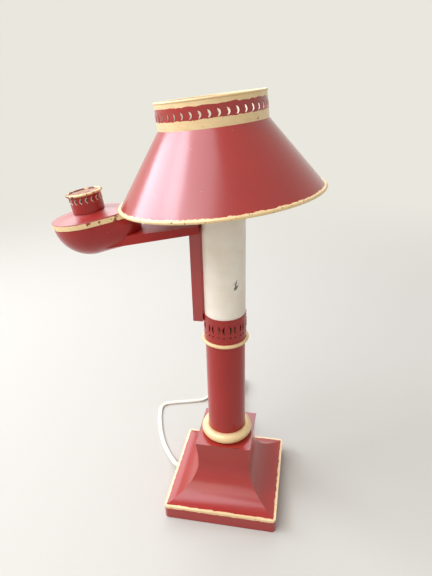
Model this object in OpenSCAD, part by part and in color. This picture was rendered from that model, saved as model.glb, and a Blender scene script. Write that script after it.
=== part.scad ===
// Electrified tole lamp in the form of an Argand oil lamp: a square base, a column with a pierced
// gallery, a candle tube, a reservoir on a side arm and a cone shade with a pierced crown.
// Millimetres, Z up, origin at the centre of the base's underside, the arm points to -X.

/* [Base] */
// Side of the square plinth
plinth_w = 114; // [104:1:126]
// Height of the plinth's upright edge
plinth_h = 16; // [14:0.5:20]
// Radius of the plinth's upright corners
plinth_corner_r = 4; // [2:0.5:6]
// Radius of the cove above the plinth
cove_r = 34.9; // [33:0.1:37]
// Side of the pedestal's waist
waist_w = 52.2; // [50:0.2:54]
// Side of the pedestal's square top
block_w = 55.8; // [54.6:0.2:60]
// Height of the pedestal's flat top
block_top = 76.5; // [72:0.5:90]
// Thickness of the tinplate
sheet_t = 0.8; // [0.6:0.1:1]
// Thickness of the felt pad
felt_t = 1.6; // [1:0.1:2]
// Thickness of the iron weight
weight_t = 10; // [9:0.5:10]

/* [Column] */
// Outside radius of the column tube
column_r = 18.9; // [17.5:0.1:19.4]
// Height at which the column ends
column_top = 189.8; // [170:0.1:210]
// Radius of the collar's half-round section
collar_bead_r = 5.2; // [4:0.1:5.5]
// How far the collar's section centre lies outside the column
collar_offset = 1.6; // [0.8:0.1:1.8]
// Radius of the thin bead's section
bead_r = 1.7; // [1.2:0.1:2.2]
// Outside radius of the pierced gallery
gallery_r = 19.95; // [19.8:0.05:21.5]
// Height of the pierced gallery
gallery_h = 26.3; // [24:0.1:32]
// Number of motifs pierced round the gallery
gallery_motifs = 12; // [8:1:12]

/* [Candle] */
// How far the candle stands inside the gallery
candle_sink = 4; // [3:0.1:5]
// Gap between the candle and the gallery's inner wall
candle_gap = 0.05; // [0.05:0.05:0.3]
// Height of the candle's open top
candle_top = 314; // [306:1:330]

/* [Arm and reservoir] */
// How far the arm and the reservoir droop, in degrees
arm_droop = 9.5; // [6:0.5:12]
// Thickness of the arm at the feed duct
arm_t = 6.2; // [5:0.1:7]
// Slope by which the arm thickens towards the reservoir, in degrees
arm_taper = 2; // [0:0.5:3]
// Width of the arm
arm_w = 31; // [26:1:34]
// Width of the feed duct
duct_w = 18; // [14:1:20]
// Depth of the vertical feed duct
duct_d = 9.2; // [7:0.1:11]
// Height of the arm's upper edge at the feed duct
arm_z = 302.8; // [298:0.2:304]
// Distance from the feed duct's inner face to the bowl's axis
font_reach = 101.5; // [96:0.1:110]
// Height of the reservoir's rim above the arm's top
font_rise = 19.2; // [18:0.1:22]
// Radius of the bowl's round end
bowl_r = 31.6; // [30:0.1:34]
// How far the bowl's centre lies below the rim
bowl_drop = 3.6; // [3:0.1:5]
// Radius of the bowl's narrow end, over the arm
tail_r = 19; // [17:0.1:21]
// Distance from the bowl's axis to the centre of its narrow end
tail_x = 27.8; // [25:0.1:30]
// How far the narrow end's centre lies below the rim
tail_drop = 12.8; // [11:0.1:14]
// Distance from the bowl's axis to the filler's axis
filler_x = 2.6; // [0:0.1:4]
// Height of the gold rim band
font_band_h = 4.2; // [3:0.1:5]
// Rise of the top plate from the rim to the filler
lid_rise = 3.3; // [2:0.1:4]
// Outside radius of the filler neck
neck_r = 13.3; // [11:0.1:15]
// Height of the filler neck
neck_h = 8.5; // [6:0.1:9]
// Height of the filler cap
cap_h = 17.2; // [16:0.1:22]
// Radius of the cap's rolled rim section
cap_bead_r = 1.2; // [1:0.1:1.6]
// Number of crescents pierced round the cap
cap_holes = 18; // [12:1:18]

/* [Shade] */
// Lean of the loose shade, in degrees
shade_lean = 6.4; // [4:0.1:7]
// Direction of the lean, in degrees from +X
lean_bearing = 163.3; // [150:0.1:210]
// Outside radius of the brim's wired edge
brim_r = 85.6; // [78:0.2:90]
// Height of the brim's wired edge above the shade's pivot
brim_z = 8.6; // [8:0.1:14]
// Radius of the brim's rolled wire
brim_bead_r = 1.5; // [1:0.1:2]
// Outside radius of the pierced crown
crown_r = 43.8; // [40:0.2:48]
// Height of the crown's foot above the shade's pivot
crown_z = 65.4; // [62:0.1:72]
// Height of the pierced crown
crown_h = 20.7; // [18:0.1:24]
// Radius of the crown's rolled top wire
crown_bead_r = 0.9; // [0.7:0.1:1.2]
// Number of commas pierced round the crown
crown_holes = 40; // [24:1:40]
// Thickness of the fitter ring
fitter_t = 1.2; // [1:0.1:1.6]
// Radius of the fitter's three arms
fitter_arm_r = 1.6; // [1.2:0.1:2]

/* [Socket and bulb] */
// Outside radius of the socket and its threaded collar
socket_r = 16.6; // [16:0.1:16.9]
// How far the socket collar stands above the candle
collar_rise = 13; // [12:0.5:16]
// Length of the socket
socket_h = 58; // [54:1:64]
// Radius of the bulb's screw base
cap_screw_r = 13.1; // [12.9:0.05:13.2]
// Largest radius of the bulb's glass
bulb_r = 23; // [20:0.5:25]
// Height of the switch knob's axis below the candle's top
knob_drop = 36; // [34:0.5:40]
// Outside radius of the threaded pipe
pipe_r = 5.1; // [4.8:0.1:5.3]

/* [Cord] */
// Width of the flat twin cord
cord_w = 5.2; // [4.8:0.1:5.4]
// Number of loops in the folded cord, before the last run
hank_loops = 4; // [3:1:4]

/* [Hidden] */
$fn = 96;

red = "#8e2f33";
gold = "#d9bd7c";
cream = "#efe6d2";
steel = "#9a9a98";
brass = "#b9934a";
ivory = "#ece6d6";

// Clearances: soldered or stacked neighbours, running fits, and neighbours that move apart
seat_gap = 0.05;
run_gap = 0.06;
free_gap = 0.25;
// Overshoot of a cutter past the face that it cuts
past = 1;

// Base
cove_x = waist_w / 2 + cove_r;
cove_z = plinth_h + sqrt(cove_r * cove_r - pow(cove_x - plinth_w / 2, 2));
// The pedestal spreads again from its waist to its top, on a wide arc
flare = (block_w - waist_w) / 2;
flare_h = block_top - cove_z;
flare_r = (flare_h * flare_h + flare * flare) / (2 * flare);
flare_x = waist_w / 2 + flare_r;
// Width of the hollow inside from corner to corner
corner_span = (plinth_w - 2 * plinth_corner_r) * sqrt(2) + 2 * (plinth_corner_r - sheet_t);
shell_foot = 0.4;
plate_top = felt_t + sheet_t;
weight_top = plinth_h - sheet_t - seat_gap;
weight_z = weight_top - weight_t;
inner_w = plinth_w - 2 * sheet_t;
nut_pocket_r = 13;
nut_pocket_h = 6;
washer_t = 1;
nut_t = 3.5;
nut_r = 9;
pipe_wall = 1.5;
pipe_foot = weight_z + nut_pocket_h - washer_t - nut_t - 0.6;
cord_t = cord_w / 2;
bushing_r = 5;
bushing_step = 0.8;
bushing_flange = 1.5;
bushing_inside = 1.6;
// Side of the felt, the plate and the weight, clear of the bushing
pad_w = inner_w - 2 * bushing_inside - 2 * free_gap;
bushing_bore_r = cord_w / 2 + 0.85;
exit_y = 6.9;
exit_z = 5.7;
core_r = 1.1;
core_z = plate_top + core_r + free_gap;
core_end = 44;
channel_w = cord_w + 3;
channel_top = exit_z + cord_t / 2 + 1.2;

// Column and gallery
disc_t = 1.2;
bead_ring_r = column_r + bead_r;
gallery_z = column_top + disc_t;
gallery_top = gallery_z + gallery_h;
candle_r = gallery_r - sheet_t - candle_gap;
candle_z = gallery_top - candle_sink;
motif_h = 9.6;
motif_half_w = 3.4;
motif_drop = 10.3;
motif_z = gallery_top - motif_drop;
dot_z = -7.7;
dot_r = 0.95;

// Socket
socket_top = candle_top + collar_rise;
socket_z = socket_top - socket_h;
socket_neck_h = 16;
socket_floor = socket_z + socket_neck_h;
shell_r = cap_screw_r + run_gap;
shell_wall = 0.4;
socket_bore_r = shell_r + shell_wall + seat_gap;
screw_h = 27;
screw_z = socket_top - 1 - screw_h;
contact_t = 0.6;
knob_z = candle_top - knob_drop;
knob_stem_r = 2;
pipe_top = knob_z - knob_stem_r - 1;
knob_r = 5.5;
knob_y = candle_r + 3;
knob_len = 9;

// Arm frame: origin on the arm's top face at the feed duct's inner face
duct_x = candle_r + seat_gap;
duct_lap = 8;
duct_foot = gallery_top - duct_lap;
font_x = -font_reach;
band_out = 0.5;
lid_foot_r = bowl_r - filler_x - 2.5;
lid_land_r = neck_r + 4;
lid_top = lid_rise + sheet_t;
// The bowl's two round ends lie on one axis: its length and pitch, and the slope of the sides between them
tail_axis = norm([tail_x, tail_drop - bowl_drop]);
tail_pitch = atan2(tail_drop - bowl_drop, tail_x);
tail_slope = asin((bowl_r - tail_r) / tail_axis);
// The sides stand this far inside the tangent, so that they cross both ends
side_inset = 0.12;
cap_wall_r = neck_r + run_gap + sheet_t;
cap_z = lid_top + free_gap;
cap_disc_drop = 2;
cap_bead_out = 0.7;
cap_hole_drop = 6.4;

// Shade frame: origin at the pivot, tilted with the shade
pivot_z = candle_top + candle_r * sin(shade_lean) + fitter_t / 2 + free_gap;
fitter_hole_r = socket_r + 0.6;
fitter_r = candle_r + 3.5;
ring_nut_r = socket_r + 3.8;
ring_nut_z = pivot_z + ring_nut_r * sin(shade_lean) + fitter_t / 2 + free_gap;
ring_nut_h = 4;
cone_slope = (brim_r - crown_r) / (crown_z - brim_z);
cone_wall = sheet_t * sqrt(1 + cone_slope * cone_slope);
brim_bead_R = brim_r - brim_bead_r;
brim_bead_z = brim_z + brim_bead_r;
cone_in_R = brim_bead_R - cone_wall - seat_gap;
crown_hole_drop = 10.9;
crown_hole_z = crown_z + crown_h - crown_hole_drop;
crown_wall_top = crown_z + crown_h - crown_bead_r;
arm_rise = 13;

// Bulb
bulb_gap = 0.3;
bulb_base_z = screw_z + 5;
bulb_base_top = socket_top + 0.5;
bulb_rise = 33;
bulb_mid_z = bulb_base_top + bulb_rise;
bulb_neck_r = cap_screw_r - 0.8;
bulb_neck_h = 4;

// Folded cord, in a frame whose Y axis points straight back from the viewer through the column
hank_bearing = 10.1;
hank_x = 1;
hank_near = 86;
hank_run = 82;
hank_far = hank_near + hank_run;
hank_inner_r = 15.4;
hank_draw = 12;
lane_step = cord_t + 1.2;
lane_turn = hank_loops / 2 + 0.25;
layer_rise = cord_w + 0.5;
loop_rings = 24;
fold_rings = 7;
run_rings = 5;
hank_foot = 0.6;
hank_z = hank_foot + cord_w / 2;
climb_from = lane_turn - run_rings / loop_rings / 2;
climb_to = lane_turn + run_rings / loop_rings / 2;
hank_end = hank_loops + (1.5 * fold_rings + 2 * run_rings) / loop_rings;
tie_w = 6;
tie_t = 0.5;
plug_w = 24;
plug_h = 16.8;
plug_len = 30;
plug_at = [-13, 208];
relief_r = 4.4;
relief_len = 12;
relief_ribs = 4;
rib_groove = 0.7;
shoulder_len = 5;
plug_edge = 1;
blade_len = 17.5;
blade_pitch = 12.7;
blade_w = 6.4;
blade_t = 1.5;
blade_hole_r = 1.6;
blade_hole_in = 4;

// Stretch of the cord from inside the base to the hank: x, y, z and roll of the flat section
lead_route = [
    [-44.2, 6.9, 3.75, 0], [-49.5, 6.9, 4.7, 0], [-54.9, 6.9, 5.7, 0], [-57.9, 7.2, 5.8, 0],
    [-60.7, 8.3, 5.6, 0], [-63.2, 9.9, 5.2, 0], [-65.3, 12.1, 4.6, 0], [-68.6, 16.5, 3.5, 0],
    [-72.8, 22.1, 2.2, 0], [-77, 27.7, 1.6, 0], [-82, 34.6, 1.5, 0], [-89.5, 47, 1.5, 0],
    [-97, 63, 1.5, 0], [-103.5, 80.5, 1.5, 0], [-107.2, 93, 1.5, 0], [-109.1, 103.3, 1.5, 0],
    [-109.3, 106.9, 1.5, 0], [-108.4, 110.4, 1.5, 0], [-106.6, 113.5, 1.5, 0], [-103.9, 116, 1.5, 0],
    [-100.6, 117.6, 1.5, 0], [-89.8, 121, 1.5, 0], [-73.9, 125.6, 1.5, 0], [-60.4, 129.7, 1.6, 5],
    [-56.5, 131.6, 1.8, 15], [-53.2, 134.5, 2, 28], [-51, 138.2, 2.3, 44], [-49.9, 142.4, 2.7, 60],
    [-50, 146.7, 3, 76]
];
// Last stretch from the hank to the plug, in the hank's frame
tail_route = [[-23.1, 182, 8.8], [-20.2, 188, 8.7], [-16.6, 194, 8.6], [-13.9, 200, 8.5]];

// Section of the flat twin cord: two round conductors side by side, and the plainer one of the hank
twin_outline = [for (side = [1, -1], k = [-2.5 : 2.5])
    [side * cord_t / 2 + side * cord_t / 2 * cos(44 * k), side * cord_t / 2 * sin(44 * k)]];
flat_outline = [[cord_w / 2, 0], [cord_t / 2, cord_t / 2], [-cord_t / 2, cord_t / 2],
                [-cord_w / 2, 0], [-cord_t / 2, -cord_t / 2], [cord_t / 2, -cord_t / 2]];

// Places and frames
module in_arm() translate([-duct_x, 0, arm_z]) rotate([0, -arm_droop, 0]) children();
module in_font() in_arm() translate([font_x, 0, font_rise]) children();
module in_filler() in_font() translate([filler_x, 0, 0]) children();
// Frame of the arm's lower face
module under_arm() in_arm() translate([0, 0, -arm_t]) rotate([0, -arm_taper, 0]) children();
module in_shade() translate([0, 0, pivot_z]) rotate([0, 0, lean_bearing]) rotate([0, shade_lean, 0])
    rotate([0, 0, -lean_bearing]) children();
module in_hank() rotate([0, 0, hank_bearing]) children();

// Shapes that repeat
module tube(r, wall, z0, z1) translate([0, 0, z0]) difference() {
    cylinder(r = r, h = z1 - z0);
    translate([0, 0, -past]) cylinder(r = r - wall, h = z1 - z0 + 2 * past);
}
module disc(r, hole_r, z0, t) translate([0, 0, z0]) difference() {
    cylinder(r = r, h = t);
    translate([0, 0, -past]) cylinder(r = hole_r, h = t + 2 * past);
}
module torus(big_r, small_r, z) translate([0, 0, z]) rotate_extrude()
    translate([big_r, 0]) circle(r = small_r);
module hex_nut(across_r, bore_r, z, t) translate([0, 0, z]) difference() {
    cylinder(r = across_r, h = t, $fn = 6);
    translate([0, 0, -past]) cylinder(r = bore_r, h = t + 2 * past);
}
// Places a flat outline on the wall of an upright tube, facing outwards, at a height and bearing
module on_wall(r, z, bearing) rotate([0, 0, bearing]) translate([r, 0, z]) rotate([90, 0, 90])
    linear_extrude(height = 4, center = true) children();
// Crescent with its back towards +X and blunt tips: its height, its depth and its middle's thickness
module crescent(high, deep, thick) {
    back_r = (high * high / 4 + deep * deep) / (2 * deep);
    belly = deep - thick;
    front_r = (high * high / 4 + belly * belly) / (2 * belly);
    intersection() {
        difference() {
            translate([deep - back_r, 0]) circle(r = back_r);
            translate([belly - front_r, 0]) circle(r = front_r);
        }
        translate([0.22 * deep, -high]) square([2 * deep, 2 * high]);
    }
}
// Comma: a crescent with a round head near its upper end
module comma(high, deep, thick) {
    crescent(high, deep, thick);
    translate([deep - 0.75 * thick, 0.2 * high]) circle(r = 0.6 * thick);
}

// Base
// Profile of the pedestal: a cove that runs up to the waist, and the spread above it
module pedestal_outline(inset, foot) {
    difference() {
        translate([inset - plinth_w / 2, foot]) square([plinth_w - 2 * inset, cove_z - foot]);
        for (side = [-1, 1]) translate([side * cove_x, cove_z]) circle(r = cove_r + inset);
    }
    translate([inset - waist_w / 2, foot]) square([waist_w - 2 * inset, block_top - inset - foot]);
    difference() {
        translate([-block_w / 2 - past, cove_z]) square([block_w + 2 * past, block_top - inset - cove_z]);
        for (side = [-1, 1]) translate([side * flare_x, cove_z]) circle(r = flare_r + inset);
    }
}
module pedestal(inset, foot) intersection_for (turn = [0, 90]) rotate([90, 0, turn])
    linear_extrude(height = plinth_w + 2 * past, center = true) pedestal_outline(inset, foot);
module soft_square(side, corner) {
    square([side, side - 2 * corner], center = true);
    square([side - 2 * corner, side], center = true);
    for (x = [-1, 1], y = [-1, 1]) translate([x, y] * (side / 2 - corner)) circle(r = corner);
}
module at_exit() translate([-plinth_w / 2, exit_y, exit_z]) rotate([0, -90, 0]) children();
module base_shell() color(red) difference() {
    intersection() {
        pedestal(0, shell_foot);
        linear_extrude(height = block_top + past) soft_square(plinth_w, plinth_corner_r);
    }
    intersection() {
        pedestal(sheet_t, -past);
        rotate([0, 0, 45]) linear_extrude(height = 2 * block_top, center = true)
            square(corner_span, center = true);
    }
    cylinder(r = pipe_r + seat_gap, h = block_top + past);
    at_exit() translate([0, 0, -2 * sheet_t])
        cylinder(r = bushing_r - bushing_step + seat_gap, h = 4 * sheet_t);
}
module slab(side, z, t) translate([-side / 2, -side / 2, z]) cube([side, side, t]);
module base_felt() color("#3d3a34") slab(pad_w, 0, felt_t);
module bottom_plate() color(steel) slab(pad_w, felt_t, sheet_t);
module base_weight() color("#35373a") difference() {
    slab(pad_w, weight_z, weight_t);
    translate([0, 0, weight_z - past]) cylinder(r = nut_pocket_r, h = nut_pocket_h + past);
    cylinder(r = pipe_r + seat_gap, h = plinth_h);
    translate([-plinth_w, exit_y - channel_w / 2, 0]) cube([plinth_w - core_end, channel_w, channel_top]);
}
module bottom_washer() color(steel)
    disc(nut_pocket_r - 1, pipe_r + seat_gap, weight_z + nut_pocket_h - washer_t, washer_t);
module bottom_nut() color(brass)
    hex_nut(nut_r, pipe_r + seat_gap, weight_z + nut_pocket_h - washer_t - nut_t, nut_t);
module threaded_pipe() color(steel) tube(pipe_r, pipe_wall, pipe_foot, pipe_top);
module inner_lead() color("#d8d3c4") {
    for (side = [-1, 1]) {
        translate([side * (core_r + seat_gap), 0, core_z]) cylinder(r = core_r, h = pipe_top - 2 - core_z);
        translate([0, side * (core_r + seat_gap) + exit_y, core_z]) rotate([0, -90, 0])
            cylinder(r = core_r, h = core_end);
    }
    translate([-2 * core_r, 0, core_z - core_r]) cube([4 * core_r, exit_y + 2 * core_r, 2 * core_r]);
}
module cord_bushing() color("#2e2b28") at_exit() difference() {
    union() {
        cylinder(r = bushing_r, h = bushing_flange);
        translate([0, 0, -sheet_t - bushing_inside])
            cylinder(r = bushing_r - bushing_step, h = sheet_t + bushing_inside + bushing_flange);
    }
    translate([0, 0, -plinth_w / 2]) cylinder(r = bushing_bore_r, h = plinth_w);
}

// Column
module collar_ring() color(gold) rotate_extrude() intersection() {
    translate([column_r + collar_offset, block_top + collar_bead_r - 0.2]) circle(r = collar_bead_r);
    translate([column_r + seat_gap, block_top]) square([2 * collar_bead_r, 2 * collar_bead_r]);
}
module column_foot() color(steel) difference() {
    union() {
        translate([0, 0, block_top]) cylinder(r = column_r - sheet_t - seat_gap, h = disc_t);
        translate([0, 0, block_top]) cylinder(r = pipe_r + 4, h = 4 * disc_t);
    }
    cylinder(r = pipe_r + seat_gap, h = column_top);
}
module column_tube() color(red) tube(column_r, sheet_t, block_top, column_top);
module bead_ring() color(gold) rotate_extrude() difference() {
    union() {
        translate([pipe_r + seat_gap, column_top]) square([bead_ring_r - pipe_r, disc_t]);
        translate([bead_ring_r, column_top + disc_t / 2]) circle(r = bead_r);
    }
    translate([0, gallery_z]) square([gallery_r + seat_gap, bead_r]);
    translate([0, column_top - 2 * bead_r]) square([column_r + seat_gap, 2 * bead_r]);
}
// One motif: two crescents back to back and two dots below
module gallery_motif() for (side = [-1, 1]) {
    translate([side * motif_half_w, 0]) mirror([side > 0 ? 1 : 0, 0]) crescent(motif_h, 2.4, 1.6);
    translate([side * 2.1, dot_z]) circle(r = dot_r);
}
module gallery() color(red) difference() {
    tube(gallery_r, sheet_t, gallery_z, gallery_top);
    for (k = [0 : gallery_motifs - 1])
        on_wall(gallery_r, motif_z, 360 / gallery_motifs * k) gallery_motif();
}
module candle_seat() color(steel)
    disc(gallery_r - sheet_t - seat_gap, pipe_r + seat_gap, candle_z - disc_t, disc_t);
module lock_nut() color(brass) hex_nut(nut_r, pipe_r + seat_gap, candle_z, nut_t);
module candle_tube() color(cream) difference() {
    tube(candle_r, sheet_t, candle_z, candle_top);
    translate([0, 0, knob_z]) rotate([-90, 0, 0]) cylinder(r = knob_stem_r + 1, h = 2 * candle_r);
}

// Socket and switch
module socket_body() color("#2b2724") difference() {
    union() {
        translate([0, 0, socket_floor - 4]) cylinder(r = socket_r, h = socket_top - socket_floor + 4);
        translate([0, 0, socket_z]) cylinder(r = pipe_r + 4, h = socket_floor - socket_z);
    }
    translate([0, 0, socket_z - past]) cylinder(r = pipe_r + seat_gap, h = pipe_top - socket_z + past);
    translate([0, 0, screw_z - 3]) cylinder(r = socket_bore_r, h = socket_h);
    translate([0, 0, knob_z]) rotate([-90, 0, 0]) cylinder(r = knob_stem_r + run_gap, h = 2 * socket_r);
}
module screw_shell() color(brass) tube(shell_r + shell_wall, shell_wall, screw_z - 2, socket_top - 1);
module centre_contact() color(brass) {
    translate([0, 0, screw_z - 3]) cylinder(r = 6, h = contact_t);
    translate([0, 0, screw_z - 3]) cylinder(r = 3, h = 3);
}
module terminal_screws() color(brass) for (side = [-1, 1])
    translate([side * (socket_r - 3.4), 0, socket_floor - 4]) mirror([0, 0, 1]) cylinder(r = 2.6, h = 1.8);
module switch_knob() color("#1f1c1a") translate([0, 0, knob_z]) rotate([-90, 0, 0]) {
    translate([0, 0, 4]) cylinder(r = knob_stem_r, h = knob_y);
    difference() {
        translate([0, 0, knob_y]) cylinder(r = knob_r, h = knob_len);
        for (k = [0 : 11]) rotate([0, 0, 30 * k]) translate([knob_r + 0.4, 0, knob_y + 2])
            cylinder(r = 0.9, h = knob_len);
    }
}

// Arm and reservoir
module arm_block(inset) translate([0, arm_w / 2 - inset, 0]) rotate([90, 0, 0])
    linear_extrude(height = arm_w - 2 * inset)
        polygon([[-inset, -inset], [font_x, -inset], [font_x, inset - arm_t + font_x * tan(arm_taper)],
                 [-inset, inset - arm_t]]);
// Pear-shaped body of the reservoir: two round ends and the straight sides between them
module bowl_form(grow) {
    big_r = bowl_r + grow;
    small_r = tail_r + grow;
    translate([0, 0, -bowl_drop]) sphere(r = big_r);
    translate([tail_x, 0, -tail_drop]) sphere(r = small_r);
    translate([0, 0, -bowl_drop]) rotate([0, 90 + tail_pitch, 0]) translate([0, 0, big_r * sin(tail_slope)])
        cylinder(r1 = big_r * cos(tail_slope) - side_inset, r2 = small_r * cos(tail_slope) - side_inset,
                 h = tail_axis - (big_r - small_r) * sin(tail_slope));
}
// Slice of the reservoir's body between two heights
module bowl_slice(grow, z0, z1) intersection() {
    bowl_form(grow);
    translate([-2 * bowl_r, -2 * bowl_r, z0]) cube([4 * bowl_r, 4 * bowl_r, z1 - z0]);
}
module feed_duct() color(red) difference() {
    translate([-duct_x - duct_d, -duct_w / 2, duct_foot]) cube([duct_d, duct_w, arm_z]);
    under_arm() translate([-font_reach, -duct_w, 0]) cube([2 * font_reach, 2 * duct_w, arm_z]);
    translate([0, 0, gallery_z]) cylinder(r = gallery_r + seat_gap, h = gallery_h);
    translate([-duct_x - duct_d + sheet_t, sheet_t - duct_w / 2, duct_foot + sheet_t])
        cube([duct_d - 2 * sheet_t, duct_w - 2 * sheet_t, arm_z]);
}
module arm_duct() color(red) difference() {
    in_arm() difference() {
        arm_block(0);
        arm_block(sheet_t);
    }
    in_font() bowl_form(seat_gap);
    cylinder(r = candle_r + seat_gap, h = candle_top);
}
module font_bowl() color(red) in_font() difference() {
    bowl_slice(0, -2 * bowl_r, 0);
    bowl_form(-sheet_t);
}
// The gold band hugs the bowl's upper edge
module font_rim() color(gold) in_font() difference() {
    bowl_slice(band_out, -font_band_h, 0);
    bowl_form(seat_gap);
}
// Top plate: flat at the edge, with a low cone up to the filler
module font_lid() color(red) in_font() difference() {
    union() {
        bowl_slice(band_out, 0, sheet_t);
        translate([filler_x, 0, 0]) cylinder(r1 = lid_foot_r + sheet_t, r2 = lid_land_r, h = lid_top);
    }
    translate([filler_x, 0, -sheet_t])
        cylinder(r1 = lid_foot_r, r2 = lid_land_r - sheet_t, h = lid_top);
    translate([filler_x, 0, 0]) cylinder(r = neck_r - sheet_t, h = lid_top + past);
}
module filler_neck() color(steel) in_filler() tube(neck_r, sheet_t, lid_top, lid_top + neck_h);
module cap_body() color(red) in_filler() difference() {
    tube(cap_wall_r, sheet_t, cap_z, cap_z + cap_h - cap_bead_r);
    for (k = [0 : cap_holes - 1])
        on_wall(cap_wall_r, cap_z + cap_h - cap_hole_drop, 360 / cap_holes * k)
            translate([1.4, 0]) mirror([1, 0]) comma(5.2, 2.6, 1.4);
}
module cap_top() color(red) in_filler() translate([0, 0, cap_z + cap_h - cap_disc_drop])
    cylinder(r = cap_wall_r - sheet_t - seat_gap, h = sheet_t);
module cap_rim() color(gold) in_filler() rotate_extrude() difference() {
    translate([cap_wall_r + cap_bead_out, cap_z + cap_h - cap_bead_r]) circle(r = cap_bead_r);
    translate([0, cap_z]) square([cap_wall_r + seat_gap, cap_h - cap_bead_r]);
}

// Shade
module shade_ring_nut() color(brass) difference() {
    disc(ring_nut_r, socket_r + run_gap, ring_nut_z, ring_nut_h);
    for (k = [0 : 17]) rotate([0, 0, 20 * k]) translate([ring_nut_r + 0.7, 0, ring_nut_z + 1])
        cylinder(r = 1.2, h = ring_nut_h);
}
module cone_outline(wall) polygon([[brim_bead_R, brim_bead_z], [crown_r, crown_z],
                                   [crown_r - wall, crown_z], [brim_bead_R - wall, brim_bead_z]]);
module shade_fitter() color(steel) in_shade() {
    arm_start = fitter_r - 1;
    arm_end = brim_r - arm_rise * cone_slope;
    pitch = atan2(arm_rise, arm_end - arm_start);
    disc(fitter_r, fitter_hole_r, -fitter_t / 2, fitter_t);
    intersection() {
        for (bearing = [30, 150, 270]) rotate([0, 0, bearing]) translate([arm_start, 0, 0])
            rotate([0, 90 - pitch, 0]) cylinder(r = fitter_arm_r, h = brim_r);
        rotate_extrude() polygon([[0, -fitter_t / 2], [cone_in_R, -fitter_t / 2], [cone_in_R, brim_bead_z],
                                  [crown_r - cone_wall - seat_gap, crown_z], [0, crown_z]]);
    }
}
module shade_cone() color(red) in_shade() rotate_extrude() difference() {
    cone_outline(cone_wall);
    translate([brim_bead_R, brim_bead_z]) circle(r = brim_bead_r + seat_gap);
}
module brim_bead() color(gold) in_shade() torus(brim_bead_R, brim_bead_r, brim_bead_z);
module shade_crown() color(red) in_shade() difference() {
    tube(crown_r, sheet_t, crown_z, crown_wall_top);
    for (k = [0 : crown_holes - 1])
        on_wall(crown_r, crown_hole_z, 360 / crown_holes * k) translate([-1.6, 0]) comma(5.6, 3, 1.6);
}
module crown_bead() color(gold) in_shade() rotate_extrude() difference() {
    translate([crown_r - sheet_t / 2, crown_wall_top]) circle(r = crown_bead_r);
    translate([crown_r - 2 * sheet_t, 0]) square([2 * sheet_t + seat_gap, crown_wall_top]);
}

// Bulb
module bulb_glass() color("#f4f1e8") {
    translate([0, 0, bulb_mid_z]) sphere(r = bulb_r);
    translate([0, 0, bulb_base_top]) rotate_extrude()
        polygon([[0, 0], [bulb_neck_r, 0], [bulb_neck_r, bulb_neck_h],
                 [bulb_r * cos(25), bulb_mid_z - bulb_base_top - bulb_r * sin(25)],
                 [0, bulb_mid_z - bulb_base_top]]);
}
module bulb_base() color(brass) translate([0, 0, bulb_base_z])
    cylinder(r = cap_screw_r, h = bulb_base_top - bulb_base_z);
module bulb_tip() color("#1d1d1f") translate([0, 0, screw_z + bulb_gap]) {
    pin_h = 1.5;
    cylinder(r = 3.5, h = pin_h);
    translate([0, 0, pin_h])
        cylinder(r1 = 5, r2 = cap_screw_r - 1.5, h = bulb_base_z - screw_z - bulb_gap - pin_h);
}

// Cord
function unit(v) = v / norm(v);
function heading(path, i) = unit(path[min(i + 1, len(path) - 1)] - path[max(i - 1, 0)]);
function ring_at(path, rolls, i, outline) =
    let (ahead = heading(path, i), side = unit(cross(ahead, [0, 0, 1])), rise = cross(side, ahead))
    [for (p = outline) path[i] + side * (p[0] * cos(rolls[i]) - p[1] * sin(rolls[i]))
        + rise * (p[0] * sin(rolls[i]) + p[1] * cos(rolls[i]))];
// Tube of triangles through rings of equal count, closed by a fan at each end
module swept(path, rolls, outline) {
    n = len(outline);
    last = len(path) - 1;
    rings = [for (i = [0 : last]) each ring_at(path, rolls, i, outline)];
    first_mid = len(rings);
    walls = [for (i = [0 : last - 1], k = [0 : n - 1]) let (a = i * n + k, b = i * n + (k + 1) % n)
        each [[a, b, a + n], [b, b + n, a + n]]];
    caps = [for (k = [0 : n - 1]) each [[first_mid, (k + 1) % n, k],
                                        [first_mid + 1, last * n + k, last * n + (k + 1) % n]]];
    polyhedron(points = concat(rings, [path[0], path[last]]), faces = concat(walls, caps));
}
function place(p) = [for (row = [[cos(hank_bearing), -sin(hank_bearing), 0],
                                 [sin(hank_bearing), cos(hank_bearing), 0], [0, 0, 1]]) row * p];
// The hank's lanes spiral in on the lower layer and out again on the upper one
function lane_r(u) = hank_inner_r + lane_step * abs(lane_turn - u);
function layer_z(u) = let (f = min(1, max(0, (u - climb_from) / (climb_to - climb_from))))
    hank_z + layer_rise * f * f * (3 - 2 * f);
// One loop runs from the far fold's crest round the right run, the near fold and the left run
function loop_xy(u) =
    let (k = (u - floor(u)) * loop_rings, r = lane_r(u), half_fold = fold_rings / 2,
         right = half_fold + run_rings, near = right + fold_rings, left = near + run_rings)
    k < half_fold ? [hank_x + r * sin(90 * k / half_fold), hank_far + r * cos(90 * k / half_fold)] :
    k < right ? let (f = (k - half_fold) / run_rings)
        [hank_x + r - hank_draw * pow(sin(180 * f), 2), hank_far - hank_run * f] :
    k < near ? let (a = 90 + 180 * (k - right) / fold_rings) [hank_x + r * sin(a), hank_near + r * cos(a)] :
    k < left ? let (f = (k - near) / run_rings)
        [hank_x - r + hank_draw * pow(sin(180 * f), 2), hank_near + hank_run * f] :
    let (a = 270 + 90 * (k - left) / half_fold) [hank_x + r * sin(a), hank_far + r * cos(a)];
function hank_point(u) = let (p = loop_xy(u)) [p[0], p[1], layer_z(u)];
hank_start = -fold_rings / loop_rings / 2;
hank_steps = round((hank_end - hank_start) * loop_rings);
hank_loop_path = [for (i = [0 : hank_steps]) hank_point(hank_start + i / loop_rings)];
hank_in = hank_loop_path[0] - [0, cord_w, 0];
hank_out = hank_loop_path[hank_steps] + [0, cord_w, 0];
hank_path = concat([hank_in], hank_loop_path, [hank_out]);
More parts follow.
